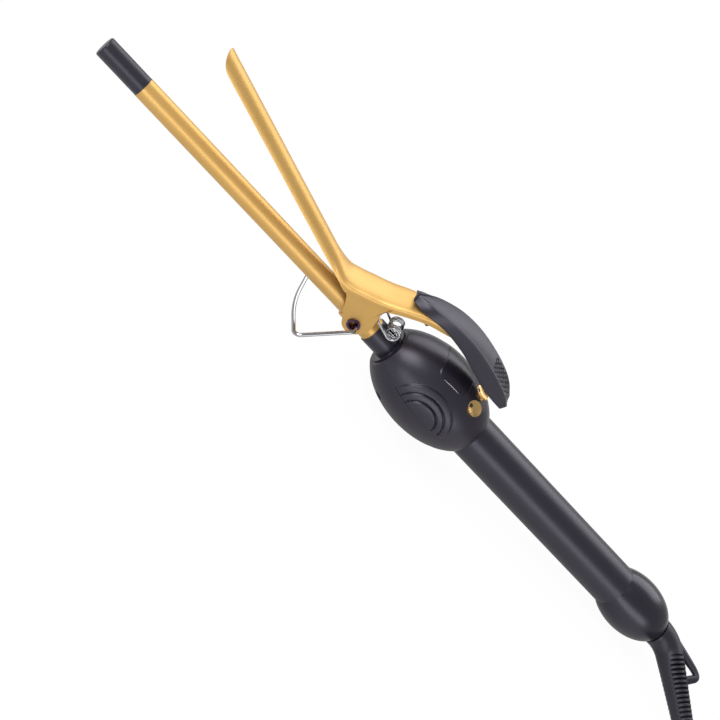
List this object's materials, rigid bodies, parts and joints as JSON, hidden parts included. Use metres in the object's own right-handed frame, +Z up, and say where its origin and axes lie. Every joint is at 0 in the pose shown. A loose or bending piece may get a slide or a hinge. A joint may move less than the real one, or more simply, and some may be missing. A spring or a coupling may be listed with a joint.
{
  "type": "curling iron",
  "caption": "Slim curling iron: gold barrel with cool tip, sprung hair clip with thumb rest, egg-shaped control housing, round handle, folding wire stand and swivel cord with plug.",
  "frame": {"origin": "middle of the iron's own box, on the floor that its housing and end cap rest on; the lead with its plug is left out of that box", "axes": "+X from the cool tip to the cord, +Z up, -Y to the side that the picture shows"},
  "size_m": [0.5273, 0.0898, 0.0656],
  "materials": {
    "gold": "satin",
    "black_plastic": "satin",
    "gloss_black": "gloss",
    "ceramic": "matte",
    "aluminium": "satin",
    "wire_insulation": "satin",
    "rivet": "satin",
    "chrome": "polished",
    "steel": "satin",
    "board": "satin",
    "gold_button": "gloss",
    "brass": "satin",
    "cord_rubber": "satin",
    "tie": "satin"
  },
  "bodies": {
    "iron": {"barrel_tube": "gold", "cool_tip": "black_plastic", "heater_rod": "ceramic", "heater_sleeve": "aluminium", "temperature_sensor": "ceramic", "heater_leads": "wire_insulation", "hinge_saddle": "gold", "hinge_rivets": "rivet", "neck_collar": "black_plastic", "neck_ring": "gloss_black", "housing_upper": "black_plastic", "housing_lower": "black_plastic", "housing_screws": "steel", "circuit_board": "board", "display_module": "gloss_black", "display_window": "gloss_black", "switch_carrier": "black_plastic", "key_switches": "steel", "handle_tube": "black_plastic", "end_cap": "gloss_black", "end_cap_screw": "steel", "contact_fingers": "brass", "power_leads": "wire_insulation", "clip_spring": "chrome", "cord_free": "cord_rubber", "cord_coil": "cord_rubber", "cord_tail": "cord_rubber", "coil_tie": "tie", "plug_body": "cord_rubber", "plug_pins": "brass"},
    "clip_arm": {"clip": "gold", "thumb_rest": "black_plastic", "thumb_rest_screw": "steel"},
    "stand": {"stand_wire": "chrome"},
    "swivel": {"swivel_hub": "black_plastic", "slip_rings": "brass", "strain_relief": "cord_rubber"},
    "key_minus": {"button_minus": "gold_button"},
    "key_power": {"button_power": "gold_button"},
    "key_plus": {"button_plus": "gold_button"}
  },
  "joints": [
    {"name": "clip_hinge", "type": "hinge", "parent": "iron", "child": "clip_arm", "pos_m": [-0.04776, 0.0083, 0.02129], "axis": [0, 1, 0], "range_deg": [-16.4, 3], "stiffness_Nm_per_rad": 0.3, "springref_deg": -40, "deforming": ["clip_spring"]},
    {"name": "stand_swing", "type": "hinge", "parent": "iron", "child": "stand", "pos_m": [-0.04776, 0.0083, 0.02129], "axis": [0, 1, 0], "range_deg": [-50, 26]},
    {"name": "cord_swivel", "type": "hinge", "parent": "iron", "child": "swivel", "pos_m": [0.15705, 0.0083, 0.0125], "axis": [0.9991, 0, -0.0428], "continuous": true, "deforming": ["cord_free"]},
    {"name": "button_minus_press", "type": "slide", "parent": "iron", "child": "key_minus", "axis": [-0.0376, 0.4772, -0.878], "range_m": [0, 0.0006], "stiffness_N_per_m": 400, "springref_m": -0.0005},
    {"name": "button_power_press", "type": "slide", "parent": "iron", "child": "key_power", "axis": [-0.0428, 0, -0.9991], "range_m": [0, 0.0006], "stiffness_N_per_m": 400, "springref_m": -0.0005},
    {"name": "button_plus_press", "type": "slide", "parent": "iron", "child": "key_plus", "axis": [-0.0376, -0.4772, -0.878], "range_m": [0, 0.0006], "stiffness_N_per_m": 400, "springref_m": -0.0005}
  ]
}
